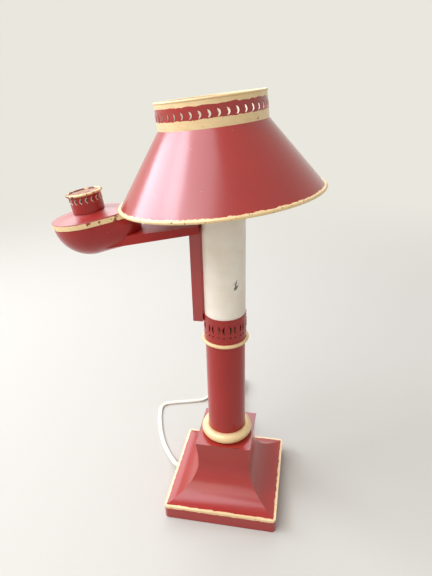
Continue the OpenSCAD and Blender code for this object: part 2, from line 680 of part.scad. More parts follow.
hank_rolls = [for (p = hank_path) 90];
lead_path = concat([for (p = lead_route) [p[0], p[1], p[2]]],
                   [place(hank_in - [0, cord_w, 0]), place(hank_in)]);
lead_rolls = concat([for (p = lead_route) p[3]], [90, 90]);
tail_path = concat([hank_out, hank_out + [0, cord_t, 0]], tail_route,
                   [for (back = [cord_t, seat_gap]) [plug_at[0], plug_at[1] - back, plug_h / 2]]);
function path_len(path) = len(path) < 2 ? 0 :
    [for (i = [1 : len(path) - 1]) norm(path[i] - path[i - 1])] * [for (i = [1 : len(path) - 1]) 1];
// Least distance between the hank's surface points that lie more than a quarter loop apart
hank_rings = [for (i = [0 : len(hank_path) - 1]) ring_at(hank_path, hank_rolls, i, flat_outline)];
hank_gap = min([for (i = [0 : len(hank_rings) - 1], j = [i + 8 : 1 : len(hank_rings) - 1])
    if (norm(hank_path[i] - hank_path[j]) < 4 * cord_w)
        min([for (p = hank_rings[i], q = hank_rings[j]) norm(p - q)])]);

module cord_lead() color(ivory) swept(lead_path, lead_rolls, twin_outline);
module cord_hank() {
    echo(hank_least_gap = hank_gap);
    echo(cord_length = path_len(lead_path) + path_len(hank_path) + path_len(tail_path));
    color(ivory) in_hank() swept(hank_path, hank_rolls, flat_outline);
}
module cord_tail() color(ivory) in_hank() swept(tail_path, [for (p = tail_path) 90], flat_outline);
module cord_tie() color("#4a4a48") in_hank() {
    waist = hank_near + hank_run / 2;
    reach = cord_t / 2 + 0.5
        + max([for (p = hank_loop_path) if (abs(p[1] - waist) < hank_run / run_rings) abs(p[0] - hank_x)]);
    inside_h = hank_foot + layer_rise + cord_w + 0.2;
    translate([hank_x, waist + tie_w / 2, 0]) rotate([90, 0, 0]) linear_extrude(height = tie_w) difference() {
        translate([-reach - tie_t, 0]) square([2 * (reach + tie_t), inside_h + tie_t]);
        translate([-reach, tie_t]) square([2 * reach, inside_h - tie_t]);
    }
}
module in_plug() in_hank() translate([plug_at[0], plug_at[1], plug_h / 2]) children();
// Moulded plug: a ribbed strain relief that swells to a round body with flats above and below
module plug_body() color(ivory) in_plug() intersection() {
    rib = relief_len / relief_ribs;
    body_r = plug_w / 2;
    rotate([-90, 0, 0]) rotate_extrude() difference() {
        polygon([[0, 0], [relief_r, 0], [relief_r + rib_groove, relief_len],
                 [body_r - plug_edge, relief_len + shoulder_len],
                 [body_r, relief_len + shoulder_len + plug_edge],
                 [body_r, plug_len - plug_edge], [body_r - plug_edge, plug_len], [0, plug_len]]);
        for (k = [0 : relief_ribs - 1])
            translate([relief_r - rib_groove / 2, (k + 0.35) * rib]) square([body_r, 0.4 * rib]);
    }
    translate([-plug_w / 2, 0, -plug_h / 2]) cube([plug_w, plug_len, plug_h]);
}
module plug_blades() color(brass) in_plug() for (side = [-1, 1])
    translate([side * blade_pitch / 2, plug_len, 0]) difference() {
        translate([-blade_t / 2, 0, -blade_w / 2]) cube([blade_t, blade_len, blade_w]);
        translate([-blade_t, blade_len - blade_hole_in, 0]) rotate([0, 90, 0])
            cylinder(r = blade_hole_r, h = 2 * blade_t);
    }

base_felt();
bottom_plate();
base_weight();
base_shell();
bottom_nut();
bottom_washer();
threaded_pipe();
inner_lead();
cord_bushing();
collar_ring();
column_foot();
column_tube();
bead_ring();
gallery();
candle_seat();
lock_nut();
candle_tube();
socket_body();
screw_shell();
centre_contact();
terminal_screws();
switch_knob();
feed_duct();
arm_duct();
font_bowl();
font_rim();
font_lid();
filler_neck();
cap_body();
cap_top();
cap_rim();
shade_ring_nut();
shade_fitter();
shade_cone();
brim_bead();
shade_crown();
crown_bead();
bulb_glass();
bulb_base();
bulb_tip();
cord_lead();
cord_hank();
cord_tail();
cord_tie();
plug_body();
plug_blades();
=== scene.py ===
"""An electrified tole lamp in Argand form: finishes, cord, lid, seams, lips, bulb, light and camera."""

import math

import bmesh
import bpy
from mathutils import Matrix, Quaternion, Vector


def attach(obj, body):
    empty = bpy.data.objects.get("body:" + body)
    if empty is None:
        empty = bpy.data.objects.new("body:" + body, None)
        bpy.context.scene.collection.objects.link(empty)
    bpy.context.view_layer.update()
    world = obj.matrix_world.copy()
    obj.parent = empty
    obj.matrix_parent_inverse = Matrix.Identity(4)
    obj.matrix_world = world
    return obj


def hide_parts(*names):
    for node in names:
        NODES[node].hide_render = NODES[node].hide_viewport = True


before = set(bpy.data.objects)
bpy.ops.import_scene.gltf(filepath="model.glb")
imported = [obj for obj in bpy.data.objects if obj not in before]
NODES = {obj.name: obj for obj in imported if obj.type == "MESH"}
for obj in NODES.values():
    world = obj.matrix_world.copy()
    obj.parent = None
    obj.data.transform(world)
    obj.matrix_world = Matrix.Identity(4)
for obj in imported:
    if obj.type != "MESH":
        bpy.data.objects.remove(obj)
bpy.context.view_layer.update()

MM = 0.001
UP = Vector((0, 0, 1))
HERE = Matrix.Identity(4)

# Frames of the lamp's leaning and drooping assemblies, as in the solids
PIVOT = Vector((0, 0, 316.979)) * MM
LEAN, BEARING = math.radians(6.4), math.radians(163.3)
SHADE_AXIS = Vector((math.sin(LEAN) * math.cos(BEARING), math.sin(LEAN) * math.sin(BEARING), math.cos(LEAN)))
SHADE = (Matrix.Translation(PIVOT) @ Matrix.Rotation(BEARING, 4, "Z") @ Matrix.Rotation(LEAN, 4, "Y")
         @ Matrix.Rotation(-BEARING, 4, "Z"))
ARM = Matrix.Translation(Vector((-19.15, 0, 302.8)) * MM) @ Matrix.Rotation(math.radians(-9.5), 4, "Y")
FONT = ARM @ Matrix.Translation(Vector((-101.5, 0, 19.2)) * MM)
FILLER_X = 2.6
FILLER = FONT @ Matrix.Translation(Vector((FILLER_X, 0, 0)) * MM)
HANK = Matrix.Rotation(math.radians(10.1), 4, "Z")

# Radii of the upright tubes and of the pierced walls, in millimetres
COLUMN_R, CANDLE_R, GALLERY_R, CROWN_WALL_R, CAP_WALL_R = 18.9, 19.1, 19.95, 43.8, 14.16

# Shade sizes in its own frame
BRIM_R, BRIM_Z = 85.6 * MM, 8.6 * MM
CROWN_R, CROWN_Z, CROWN_H = CROWN_WALL_R * MM, 65.4 * MM, 20.7 * MM
CONE_SLOPE = (BRIM_R - CROWN_R) / (CROWN_Z - BRIM_Z)

# Kinds of node that the finishes use most, and their sockets
MATHS, VECTORS, NOISE = "ShaderNodeMath", "ShaderNodeVectorMath", "ShaderNodeTexNoise"
CELLS, BLEND, RANGE = "ShaderNodeTexVoronoi", "ShaderNodeMix", "ShaderNodeMapRange"
MAPPING, BUMP = "ShaderNodeMapping", "ShaderNodeBump"
VALUE, FROM_MIN, FROM_MAX, TO_MIN, TO_MAX = range(5)
FACTOR, FLOAT_A, FLOAT_B, COLOUR_A, COLOUR_B = 0, 2, 3, 6, 7
COLOUR_OUT = 2


# Finishes


def linear(colour):
    """An sRGB hex colour as linear red, green, blue and alpha."""
    parts = [int(colour[i:i + 2], 16) / 255 for i in (1, 3, 5)]
    return [c / 12.92 if c <= 0.04045 else ((c + 0.055) / 1.055) ** 2.4 for c in parts] + [1.0]


def add(tree, kind, links=None, **settings):
    """Adds a node: settings are its own properties, links its inputs, as values or other outputs."""
    made = tree.nodes.new(kind)
    for name, value in settings.items():
        setattr(made, name, value)
    for socket, value in (links or {}).items():
        if isinstance(value, bpy.types.NodeSocket):
            tree.links.new(value, made.inputs[socket])
        else:
            made.inputs[socket].default_value = value
    return made


def finish(name, **sockets):
    """A new material with its shader's constants set, its tree, its shader and the place on the piece."""
    material = bpy.data.materials.new(name)
    material.use_nodes = True
    tree = material.node_tree
    shader = tree.nodes["Principled BSDF"]
    for socket, value in sockets.items():
        shader.inputs[socket.replace("_", " ")].default_value = value
    place = add(tree, "ShaderNodeTexCoord").outputs["Object"]
    return material, tree, shader, place


def enamel_coat(tree, shader, place, gloss):
    """Sprayed oxblood stoving enamel: deep red that drifts in tone, a pebbled skin, specks of dust."""
    drift = add(tree, NOISE, {"Vector": place, "Scale": 1 / (45 * MM), "Detail": 3.0})
    red = add(tree, BLEND, {FACTOR: drift.outputs["Fac"], COLOUR_A: linear("#a6241e"),
                            COLOUR_B: linear("#921f1b")}, data_type="RGBA")
    # a few dust specks half a millimetre across in the coat
    specks = add(tree, CELLS, {"Vector": place, "Scale": 1 / (7.5 * MM), "Randomness": 1.0})
    speck = add(tree, RANGE, {VALUE: specks.outputs["Distance"], FROM_MIN: 0.02, FROM_MAX: 0.06,
                              TO_MIN: 0.45, TO_MAX: 0.0})
    dusty = add(tree, BLEND, {FACTOR: speck.outputs[0], COLOUR_A: red.outputs[COLOUR_OUT],
                              COLOUR_B: linear("#d9989c")}, data_type="RGBA")
    # pebbled skin of the sprayed coat, just over a millimetre from crest to crest
    skin = add(tree, NOISE, {"Vector": place, "Scale": 1 / (1.2 * MM), "Detail": 2.0, "Roughness": 0.6})
    bump = add(tree, BUMP, {"Height": skin.outputs["Fac"], "Strength": 0.5, "Distance": 0.1 * MM})
    tree.links.new(bump.outputs["Normal"], shader.inputs["Normal"])
    rough = add(tree, RANGE, {VALUE: drift.outputs["Fac"], TO_MIN: gloss[0], TO_MAX: gloss[1]})
    return dusty.outputs[COLOUR_OUT], rough.outputs[0]


def bronze_paint(tree, place):
    """Bronze-powder paint laid on with a brush: pale gold with streaks of a darker, browner gold."""
    stroke = add(tree, MAPPING, {"Vector": place, "Scale": (1.0, 1.0, 4.0)})
    streaks = add(tree, NOISE, {"Vector": stroke.outputs[0], "Scale": 1 / (9 * MM), "Detail": 4.0,
                                "Roughness": 0.65})
    gold = add(tree, BLEND, {FACTOR: streaks.outputs["Fac"], COLOUR_A: linear("#f3dcae"),
                             COLOUR_B: linear("#dcb67a")}, data_type="RGBA")
    return gold.outputs[COLOUR_OUT], streaks.outputs["Fac"]


def knocked_edges(tree, place, height, width, corner, colour):
    """Knocks through to dark primer where height and half width add up to the block's top corner."""
    knocks = add(tree, NOISE, {"Vector": place, "Scale": 1 / (2.6 * MM), "Detail": 3.0, "Roughness": 0.7})
    reach = add(tree, MATHS, {0: height, 1: width}, operation="ADD")
    close = add(tree, RANGE, {VALUE: reach.outputs[0], FROM_MIN: corner - 1.3 * MM, FROM_MAX: corner,
                              TO_MIN: 0.0, TO_MAX: 0.2})
    hit = add(tree, MATHS, {0: knocks.outputs["Fac"], 1: close.outputs[0]}, operation="ADD")
    gone = add(tree, MATHS, {0: hit.outputs[0], 1: 0.7}, operation="GREATER_THAN")
    primer = add(tree, BLEND, {FACTOR: gone.outputs[0], COLOUR_A: colour, COLOUR_B: linear("#4d1a16")},
                 data_type="RGBA")
    return primer.outputs[COLOUR_OUT]


def inner_side(tree, offset, height, axis, slope, limit):
    """1 on the inner side of a wall about an axis, whose radius falls with height by a slope, else 0."""
    rise = add(tree, VECTORS, {0: axis, "Scale": height}, operation="SCALE")
    spoke = add(tree, VECTORS, {0: offset, 1: rise.outputs[0]}, operation="SUBTRACT")
    radius = add(tree, VECTORS, {0: spoke.outputs[0]}, operation="LENGTH")
    depth = add(tree, MATHS, {0: height, 1: slope, 2: radius.outputs["Value"]}, operation="MULTIPLY_ADD")
    return add(tree, MATHS, {0: depth.outputs[0], 1: limit}, operation="LESS_THAN").outputs[0]


def red_enamel(name, height=None, gold_above=None, gold_below=None, edge=None, knocked=0.0, inside=None,
               gloss=(0.14, 0.22), coat=0.6, shine=0.5):
    """Oxblood enamel on tinplate, with hand-laid gold where the height along an axis is past a line,
    and an off-white inner side where the piece has one."""
    material, tree, shader, place = finish(name, IOR=1.48, Coat_Weight=coat, Coat_Roughness=0.36,
                                           Specular_IOR_Level=shine)
    colour, rough = enamel_coat(tree, shader, place, gloss)
    metal = None
    if height:
        axis, origin = height
        gold, _ = bronze_paint(tree, place)
        offset = add(tree, VECTORS, {0: place, 1: origin}, operation="SUBTRACT").outputs[0]
        up = add(tree, VECTORS, {0: offset, 1: axis}, operation="DOT_PRODUCT").outputs["Value"]
        # the brush line wavers by about half a millimetre either way
        waver = add(tree, NOISE, {"Vector": place, "Scale": 1 / (5 * MM), "Detail": 4.0, "Roughness": 0.65})
        sway = add(tree, MATHS, {0: waver.outputs["Fac"], 1: 3.2 * MM, 2: -1.6 * MM},
                   operation="MULTIPLY_ADD")
        level = add(tree, MATHS, {0: up, 1: sway.outputs[0]}, operation="ADD")
        masks = []
        for line, sense in ((gold_above, "GREATER_THAN"), (gold_below, "LESS_THAN")):
            if line is not None:
                masks.append(add(tree, MATHS, {0: level.outputs[0], 1: line}, operation=sense).outputs[0])
        if edge:
            # on the base the gold keeps to the plinth's outer edge
            parts = add(tree, "ShaderNodeSeparateXYZ", {0: place})
            across = [add(tree, MATHS, {0: parts.outputs[i]}, operation="ABSOLUTE").outputs[0]
                      for i in (0, 1)]
            widest = add(tree, MATHS, {0: across[0], 1: across[1]}, operation="MAXIMUM").outputs[0]
            swayed = add(tree, MATHS, {0: widest, 1: sway.outputs[0]}, operation="ADD")
            outer = add(tree, MATHS, {0: swayed.outputs[0], 1: edge}, operation="GREATER_THAN")
            rim = add(tree, MATHS, {0: masks[0], 1: outer.outputs[0]}, operation="MULTIPLY")
            masks = [rim.outputs[0]]
            colour = knocked_edges(tree, place, up, widest, knocked, colour)
        mask = masks[0]
        if len(masks) > 1:
            mask = add(tree, MATHS, {0: masks[0], 1: masks[1]}, operation="MAXIMUM").outputs[0]
        # the gold is rubbed through to dark red in small places
        worn = add(tree, NOISE, {"Vector": place, "Scale": 1 / (3.2 * MM), "Detail": 3.0, "Roughness": 0.7})
        kept = add(tree, MATHS, {0: worn.outputs["Fac"], 1: 0.69}, operation="LESS_THAN")
        laid = add(tree, MATHS, {0: mask, 1: kept.outputs[0]}, operation="MULTIPLY").outputs[0]
        colour = add(tree, BLEND, {FACTOR: laid, COLOUR_A: colour, COLOUR_B: gold},
                     data_type="RGBA").outputs[COLOUR_OUT]
        rough = add(tree, BLEND, {FACTOR: laid, FLOAT_A: rough, FLOAT_B: 0.42}).outputs[0]
        metal = add(tree, MATHS, {0: laid, 1: 0.2}, operation="MULTIPLY").outputs[0]
        if inside:
            slope, limit, light, dark = inside
            inner = inner_side(tree, offset, up, axis, slope, limit)
            warmth = add(tree, NOISE, {"Vector": place, "Scale": 1 / (30 * MM), "Detail": 3.0})
            white = add(tree, BLEND, {FACTOR: warmth.outputs["Fac"], COLOUR_A: linear(light),
                                      COLOUR_B: linear(dark)}, data_type="RGBA")
            colour = add(tree, BLEND, {FACTOR: inner, COLOUR_A: colour, COLOUR_B: white.outputs[COLOUR_OUT]},
                         data_type="RGBA").outputs[COLOUR_OUT]
            rough = add(tree, BLEND, {FACTOR: inner, FLOAT_A: rough, FLOAT_B: 0.5}).outputs[0]
            outside = add(tree, MATHS, {0: 1.0, 1: inner}, operation="SUBTRACT")
            metal = add(tree, MATHS, {0: metal, 1: outside.outputs[0]}, operation="MULTIPLY").outputs[0]
    tree.links.new(colour, shader.inputs["Base Color"])
    tree.links.new(rough, shader.inputs["Roughness"])
    if metal:
        tree.links.new(metal, shader.inputs["Metallic"])
    return material


def gold_bead(name, chips, scale, bare="#4b2a20"):
    """Bronze-powder paint on a rolled wire edge: brushed gold, rubbed through by hands in places."""
    material, tree, shader, place = finish(name, IOR=1.5)
    gold, streaks = bronze_paint(tree, place)
    rub = add(tree, NOISE, {"Vector": place, "Scale": 1 / (scale * MM), "Detail": 4.0, "Roughness": 0.7})
    chip = add(tree, RANGE, {VALUE: rub.outputs["Fac"], FROM_MIN: chips, FROM_MAX: chips + 0.03})
    colour = add(tree, BLEND, {FACTOR: chip.outputs[0], COLOUR_A: gold, COLOUR_B: linear(bare)},
                 data_type="RGBA")
    rough = add(tree, RANGE, {VALUE: streaks, TO_MIN: 0.34, TO_MAX: 0.5})
    metal = add(tree, RANGE, {VALUE: chip.outputs[0], TO_MIN: 0.2, TO_MAX: 0.0})
    bump = add(tree, BUMP, {"Height": streaks, "Strength": 0.25, "Distance": 0.15 * MM})
    tree.links.new(colour.outputs[COLOUR_OUT], shader.inputs["Base Color"])
    tree.links.new(rough.outputs[0], shader.inputs["Roughness"])
    tree.links.new(metal.outputs[0], shader.inputs["Metallic"])
    tree.links.new(bump.outputs["Normal"], shader.inputs["Normal"])
    return material


def candle_chips(tree, place):
    """1 where slanting strokes, about 3 mm long, are knocked out of the paint on the front's right."""
    middle = Vector((12.8, -14.2, 250.5)) * MM
    axes = {"X": (0.67, 0.60, -0.44), "Y": (0.33, 0.29, 0.90), "Z": (0.67, -0.74, 0.0)}
    near = add(tree, VECTORS, {0: place, 1: middle}, operation="SUBTRACT")
    slanted = {}
    for label, axis in axes.items():
        shift = add(tree, VECTORS, {0: near.outputs[0], 1: axis}, operation="DOT_PRODUCT")
        slanted[label] = shift.outputs["Value"]
    slant = add(tree, "ShaderNodeCombineXYZ", slanted)
    shape = add(tree, MAPPING, {"Vector": slant.outputs[0], "Scale": (1.0, 0.42, 1.0)})
    reach = add(tree, VECTORS, {0: shape.outputs[0]}, operation="LENGTH")
    zone = add(tree, RANGE, {VALUE: reach.outputs["Value"], FROM_MIN: 0.6 * MM, FROM_MAX: 4.6 * MM,
                             TO_MIN: 0.18, TO_MAX: -0.14})
    stroke = add(tree, MAPPING, {"Vector": slant.outputs[0], "Scale": (1.0, 0.2, 1.0)})
    flakes = add(tree, NOISE, {"Vector": stroke.outputs[0], "Scale": 1 / (1.3 * MM), "Detail": 2.0,
                               "Roughness": 0.6})
    bare = add(tree, MATHS, {0: flakes.outputs["Fac"], 1: zone.outputs[0]}, operation="ADD")
    return add(tree, RANGE, {VALUE: bare.outputs[0], FROM_MIN: 0.61, FROM_MAX: 0.66}).outputs[0]


def cream_paint():
    """Cream oil paint on the candle tube: satin, yellowed in patches, with chips down to grey metal."""
    material, tree, shader, place = finish("cream_oil_paint", IOR=1.48, Coat_Weight=0.15, Coat_Roughness=0.3)
    patches = add(tree, NOISE, {"Vector": place, "Scale": 1 / (26 * MM), "Detail": 4.0})
    tone = add(tree, RANGE, {VALUE: patches.outputs["Fac"], FROM_MIN: 0.35, FROM_MAX: 0.7})
    paint = add(tree, BLEND, {FACTOR: tone.outputs[0], COLOUR_A: linear("#f2eadb"),
                              COLOUR_B: linear("#e6d9c5")}, data_type="RGBA")
    # pinhead flecks all over
    pins = add(tree, CELLS, {"Vector": place, "Scale": 1 / (13 * MM), "Randomness": 1.0})
    fleck = add(tree, RANGE, {VALUE: pins.outputs["Distance"], FROM_MIN: 0.02, FROM_MAX: 0.045,
                              TO_MIN: 0.6, TO_MAX: 0.0})
    lost = add(tree, MATHS, {0: candle_chips(tree, place), 1: fleck.outputs[0]}, operation="MAXIMUM")
    colour = add(tree, BLEND, {FACTOR: lost.outputs[0], COLOUR_A: paint.outputs[COLOUR_OUT],
                               COLOUR_B: linear("#4a4e4a")}, data_type="RGBA")
    # upright brush marks
    brush = add(tree, MAPPING, {"Vector": place, "Scale": (1.0, 1.0, 0.12)})
    marks = add(tree, NOISE, {"Vector": brush.outputs[0], "Scale": 1 / (1.6 * MM), "Detail": 2.0})
    bump = add(tree, BUMP, {"Height": marks.outputs["Fac"], "Strength": 0.15, "Distance": 0.1 * MM})
    rough = add(tree, RANGE, {VALUE: patches.outputs["Fac"], TO_MIN: 0.36, TO_MAX: 0.5})
    tree.links.new(colour.outputs[COLOUR_OUT], shader.inputs["Base Color"])
    tree.links.new(rough.outputs[0], shader.inputs["Roughness"])
    tree.links.new(bump.outputs["Normal"], shader.inputs["Normal"])
    return material


def two_tone(name, light, dark, grain_mm, rough, metal=0.0, bump=0.2, stretch=(1, 1, 1), **sockets):
    """A finish whose grain, of a real size in millimetres, mixes two tones and lifts the surface."""
    material, tree, shader, place = finish(name, Metallic=metal, **sockets)
    laid = add(tree, MAPPING, {"Vector": place, "Scale": stretch})
    grain = add(tree, NOISE, {"Vector": laid.outputs[0], "Scale": 1 / (grain_mm * MM), "Detail": 5.0,
                              "Roughness": 0.6})
    spread = add(tree, RANGE, {VALUE: grain.outputs["Fac"], FROM_MIN: 0.3, FROM_MAX: 0.7})
    tone = add(tree, BLEND, {FACTOR: spread.outputs[0], COLOUR_A: linear(light), COLOUR_B: linear(dark)},
               data_type="RGBA")
    gloss = add(tree, RANGE, {VALUE: grain.outputs["Fac"], TO_MIN: rough[0], TO_MAX: rough[1]})
    lift = add(tree, BUMP, {"Height": grain.outputs["Fac"], "Strength": bump,
                            "Distance": grain_mm * 0.1 * MM})
    tree.links.new(tone.outputs[COLOUR_OUT], shader.inputs["Base Color"])
    tree.links.new(gloss.outputs[0], shader.inputs["Roughness"])
    tree.links.new(lift.outputs["Normal"], shader.inputs["Normal"])
    return material


# oxblood enamel on tinplate: deep warm red with a thin, slightly uneven gloss
plain_red = red_enamel("oxblood_enamel", coat=0.25, shine=0.35)
# the same enamel hazed by handling: a pale bloom lies over the red where it faces the light
hazed_red = red_enamel("oxblood_enamel_hazed_by_handling", gloss=(0.36, 0.46), coat=1.0)
# the same enamel dulled by the heat under the shade: flat dark red that mirrors almost nothing
dulled_red = red_enamel("oxblood_enamel_dulled_by_heat", gloss=(0.42, 0.55), coat=0.15, shine=0.25)
# enamel of the base: glossy red, a wavering gold line round the plinth, dark knocks on the block's edges
plinth_red = red_enamel("oxblood_enamel_plinth", height=(UP, Vector((0, 0, 0))), gold_above=13.4 * MM,
                        edge=54.7 * MM, knocked=104.4 * MM)
# enamel of the cone: glossy red over a gold line at the brim, chalky off-white inside
cone_red = red_enamel("oxblood_enamel_cone", height=(SHADE_AXIS, PIVOT), gold_below=11.6 * MM,
                      inside=(CONE_SLOPE, BRIM_R + CONE_SLOPE * BRIM_Z - 0.75 * MM, "#ddd4c1", "#c4b79d"))
# enamel of the crown: a glossy red band between two gold ones, cream inside
crown_red = red_enamel("oxblood_enamel_crown", height=(SHADE_AXIS, PIVOT),
                       gold_above=CROWN_Z + CROWN_H - 5.0 * MM, gold_below=CROWN_Z + 6.6 * MM,
                       inside=(0.0, CROWN_R - 0.4 * MM, "#f1ece0", "#dccfb4"))
# bronze-powder paint: pale satin gold with brush streaks and a few specks
gold_paint = gold_bead("bronze_powder_paint", 0.74, 4.0)
# the same paint broken on the reservoir's rim, so that red shows in blots
rim_gold = gold_bead("bronze_powder_paint_broken", 0.58, 8.0, "#8f2620")
# the same paint thumbed away on the cap's rim, down to brown
cap_gold = gold_bead("bronze_powder_paint_thumbed", 0.5, 8.0, "#7a4632")
# the same paint on the brim, with small dark nicks
brim_gold = gold_bead("bronze_powder_paint_brim", 0.615, 2.2)
# cream paint on the candle: warm white, faintly clouded, with a few slanting chips down to dark metal
cream = cream_paint()
# gold worn down to brown size under the thumb: tan and brown in blots
thumbed_gold = two_tone("thumbed_bronze_paint", "#b98d6c", "#6a3529", 6.0, (0.5, 0.65), metal=0.1, bump=0.15)
# zinc-plated steel: cool grey with a faint cloudy spangle
zinc_steel = two_tone("zinc_plated_steel", "#b4b6b8", "#8f9296", 7.0, (0.28, 0.42), metal=1.0, bump=0.08)
# turned brass dulled by heat: yellow with brown clouds
dull_brass = two_tone("dulled_brass", "#c8a660", "#8f6f3a", 9.0, (0.26, 0.46), metal=1.0, bump=0.06)
# sand-cast iron: near-black, grainy like coarse sand
sand_iron = two_tone("sand_cast_iron", "#4a4a4b", "#2c2c2e", 1.1, (0.6, 0.8), metal=0.6, bump=0.7)
# pressed wool felt: matted fibres, no gloss
wool_felt = two_tone("pressed_wool_felt", "#54483a", "#332b22", 0.9, (0.9, 1.0), bump=0.9,
                     stretch=(1, 2.5, 1), Sheen_Weight=0.3)
# phenolic moulding: brown-black with a soft shine
phenolic = two_tone("phenolic_moulding", "#2d211b", "#1a1411", 5.0, (0.25, 0.4), bump=0.08)
# moulded grommet rubber: charcoal, matt
grommet_rubber = two_tone("grommet_rubber", "#34312e", "#23211f", 1.5, (0.6, 0.75), bump=0.3)
# ivory vinyl cord: soft shine, slightly soiled
ivory_vinyl = two_tone("ivory_vinyl", "#ece7da", "#d8d0bd", 14.0, (0.32, 0.46), bump=0.05, IOR=1.52)
# inside-frosted lamp glass: milky white, smooth outside
frosted_glass = two_tone("frosted_lamp_glass", "#f6f3ea", "#ece7da", 18.0, (0.2, 0.3), bump=0.02, IOR=1.5,
                         Transmission_Weight=0.25)
# a pale, faintly metallic finish on the ridges round the cap's holes, so that each hole shows a pale
# crescent
pale_crescent_finish = two_tone("pale_hole_crescent_finish", "#efe6da", "#c9bdae", 2.0, (0.35, 0.5), metal=0.3, bump=0.1)
# paper-covered wire tie: matt grey-green
paper_tie = two_tone("paper_wire_tie", "#5d6058", "#46493f", 1.0, (0.7, 0.85), bump=0.3)

FINISHES = [
    (plinth_red, ["base_shell"]),
    (plain_red, ["column_tube", "gallery", "font_bowl", "cap_body"]),
    (hazed_red, ["feed_duct", "font_lid"]),
    (dulled_red, ["arm_duct"]),
    (cone_red, ["shade_cone"]),
    (crown_red, ["shade_crown"]),
    (gold_paint, ["collar_ring", "bead_ring", "crown_bead"]),
    (rim_gold, ["font_rim"]),
    (cap_gold, ["cap_rim"]),
    (thumbed_gold, ["cap_top"]),
    (brim_gold, ["brim_bead"]),
    (cream, ["candle_tube"]),
    (zinc_steel, ["bottom_plate", "bottom_washer", "threaded_pipe", "column_foot", "candle_seat",
                  "filler_neck"]),
    (dull_brass, ["bottom_nut", "lock_nut", "screw_shell", "centre_contact", "terminal_screws",
                  "shade_ring_nut", "shade_fitter", "bulb_base", "plug_blades"]),
    (sand_iron, ["base_weight"]),
    (wool_felt, ["base_felt"]),
    (phenolic, ["socket_body", "switch_knob", "bulb_tip"]),
    (grommet_rubber, ["cord_bushing"]),
    (ivory_vinyl, ["inner_lead", "cord_lead", "cord_hank", "cord_tail", "plug_body"]),
    (frosted_glass, ["bulb_glass"]),
    (paper_tie, ["cord_tie"]),
]
for material, names in FINISHES:
    for name in names:
        NODES[name].data.materials.clear()
        NODES[name].data.materials.append(material)


# Pieces made here


def clean_mesh(name, points, faces):
    """A mesh with doubles merged and faces outwards."""
    mesh = bpy.data.meshes.new(name)
    mesh.from_pydata([tuple(p) for p in points], [], faces)
    work = bmesh.new()
    work.from_mesh(mesh)
    bmesh.ops.remove_doubles(work, verts=work.verts, dist=1e-7)
    bmesh.ops.recalc_face_normals(work, faces=work.faces)
    work.to_mesh(mesh)
    work.free()
    return mesh


def piece(name, mesh, body, material, stands_for=(), crease=35):
    """A finished piece: smooth but for its creases, riding on its body."""
    for polygon in mesh.polygons:
        polygon.use_smooth = True
    mesh.set_sharp_from_angle(angle=math.radians(crease))
    if not mesh.materials:
        mesh.materials.append(material)
    made = bpy.data.objects.new(name, mesh)
    bpy.context.scene.collection.objects.link(made)
    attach(made, body)
    if stands_for:
        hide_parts(*stands_for)
    return made


def rings(rows, capped=True):
    """Faces between rows of points of equal count, each row a closed ring, with the two ends filled in."""
    count, last = len(rows[0]), len(rows) - 1
    faces = []
    for i in range(last):
        for k in range(count):
            after = (k + 1) % count
            faces.append((i * count + k, i * count + after, (i + 1) * count + after, (i + 1) * count + k))
    if capped:
        faces += [tuple(range(count)), tuple(range(last * count, len(rows) * count))]
    return [p for row in rows for p in row], faces


def swept(path, rolls, outline, lifts=None):
    """Rings of an outline along a path: width level at roll 0 and upright at 90, or square to the lifts."""
    rows = []
    for i, p in enumerate(path):
        ahead = (path[min(i + 1, len(path) - 1)] - path[max(i - 1, 0)]).normalized()
        side = ahead.cross(lifts[i] if lifts else UP).normalized()
        rise = side.cross(ahead)
        c, s = math.cos(math.radians(rolls[i])), math.sin(math.radians(rolls[i]))
        rows.append([p + side * (a * c - b * s) + rise * (a * s + b * c) for a, b in outline])
    return rings(rows)


def turned(profile, segments=64):
    """A solid turned from a profile of radius and height that starts and ends on the axis."""
    bearings = [2 * math.pi * k / segments for k in range(segments)]
    rows = []
    for radius, z in profile:
        r = max(radius, 1e-4)
        rows.append([Vector((r * math.cos(a), r * math.sin(a), z)) for a in bearings])
    return rings(rows)


def eased(points, steps):
    """A smooth curve through points of any dimension, with so many steps between each two."""
    ends = [[2 * a - b for a, b in zip(points[0], points[1])]] + list(points)
    ends.append([2 * a - b for a, b in zip(points[-1], points[-2])])
    curve = []
    for i in range(1, len(ends) - 2):
        for k in range(steps):
            t = k / steps
            curve.append([0.5 * (2 * b + (c - a) * t + (2 * a - 5 * b + 4 * c - d) * t * t
                                 + (3 * b - a - 3 * c + d) * t ** 3)
                          for a, b, c, d in zip(*ends[i - 1:i + 3])])
    return curve + [list(points[-1])]


# Cord: the free lead, the folded hank and the tail, one length of flat twin from the bushing to the plug
CORD_W, CORD_T, GROOVE = 5.2, 2.6, 0.6
